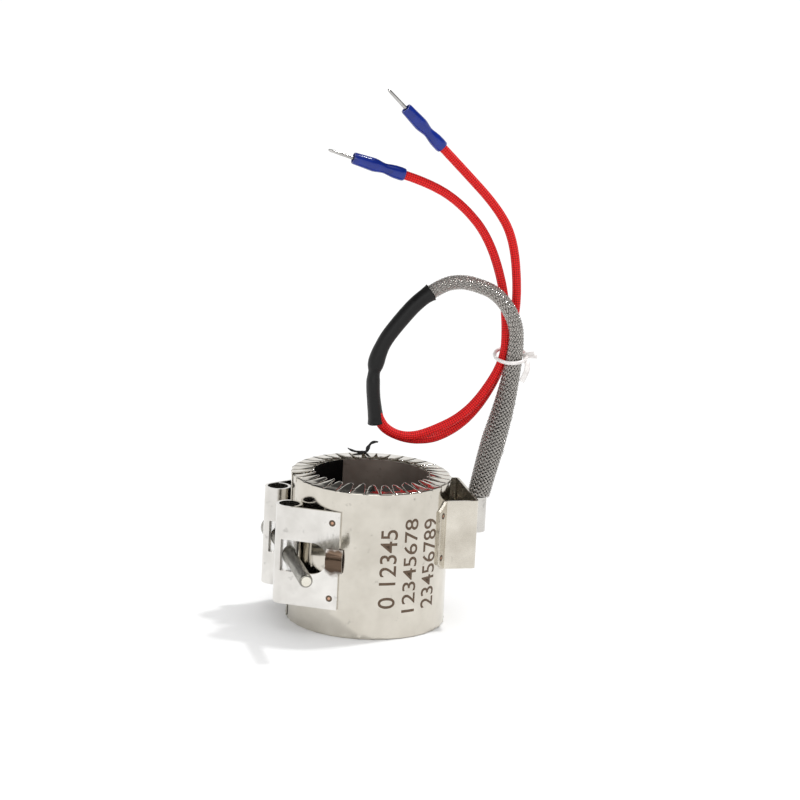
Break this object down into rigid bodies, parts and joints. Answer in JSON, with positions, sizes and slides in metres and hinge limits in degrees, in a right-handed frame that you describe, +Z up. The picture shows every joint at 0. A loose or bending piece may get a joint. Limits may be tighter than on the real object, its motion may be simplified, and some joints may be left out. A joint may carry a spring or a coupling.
{
  "type": "band heater",
  "caption": "Split electric band heater that clamps round a machine barrel, with a screw clamp, a terminal box and a braided lead with two wire ends.",
  "frame": {"origin": "on the bore's axis, in the plane of the lower rim the band stands on", "axes": "+Z up along the bore's axis, +X towards the terminal box and the lead, -X towards the split and its clamp, -Y towards the screw's free end"},
  "size_m": [0.0801, 0.064, 0.1605],
  "materials": {
    "sheath": "bright rolled stainless sheet",
    "liner": "satin steel, browned by heat",
    "shield": "dark oxidised steel",
    "mica": "mica plate",
    "ribbon": "oxidised resistance ribbon",
    "blanket": "mineral fibre blanket",
    "strap": "rolled steel strap, heat tint round the rib",
    "barrel": "turned steel",
    "screw": "dark zinc-plated steel",
    "box": "brushed sheet steel",
    "saddle": "folded sheet steel",
    "terminal": "plated lead-out strip and crimp",
    "tail": "glass-fibre sleeved wire",
    "braid": "steel wire braid",
    "shrink": "black shrink sleeve",
    "red_wire": "red braided glass-fibre wire",
    "blue_sleeve": "glossy blue insulation",
    "pin": "plated pin",
    "tie": "white coated wire"
  },
  "bodies": {
    "band": {"outer_sheath": "sheath", "inner_sheath": "liner", "gap_shield": "shield", "inner_mica": "mica", "heating_core": "mica", "heating_ribbon": "ribbon", "outer_mica": "mica", "insulation_blanket": "blanket", "front_bracket": "strap", "back_bracket": "strap", "front_barrel_nut": "barrel", "back_barrel": "barrel", "terminal_box": "box", "lead_saddle": "saddle", "saddle_rivets": "saddle", "terminal_strip_a": "terminal", "terminal_strip_b": "terminal", "splice_crimp_a": "terminal", "splice_crimp_b": "terminal", "wire_tail_a": "tail", "wire_tail_b": "tail", "lead_braid": "braid", "heat_shrink": "shrink", "red_wire_a": "red_wire", "red_wire_b": "red_wire", "blue_sleeve_a": "blue_sleeve", "blue_sleeve_b": "blue_sleeve", "pin_a": "pin", "pin_b": "pin", "cable_tie": "tie"},
    "screw": {"clamp_screw": "screw"}
  },
  "joints": [
    {"name": "screw_turn", "type": "hinge", "parent": "band", "child": "screw", "pos_m": [-0.02647, 0, 0.0235], "axis": [0, -1, 0], "continuous": true}
  ]
}
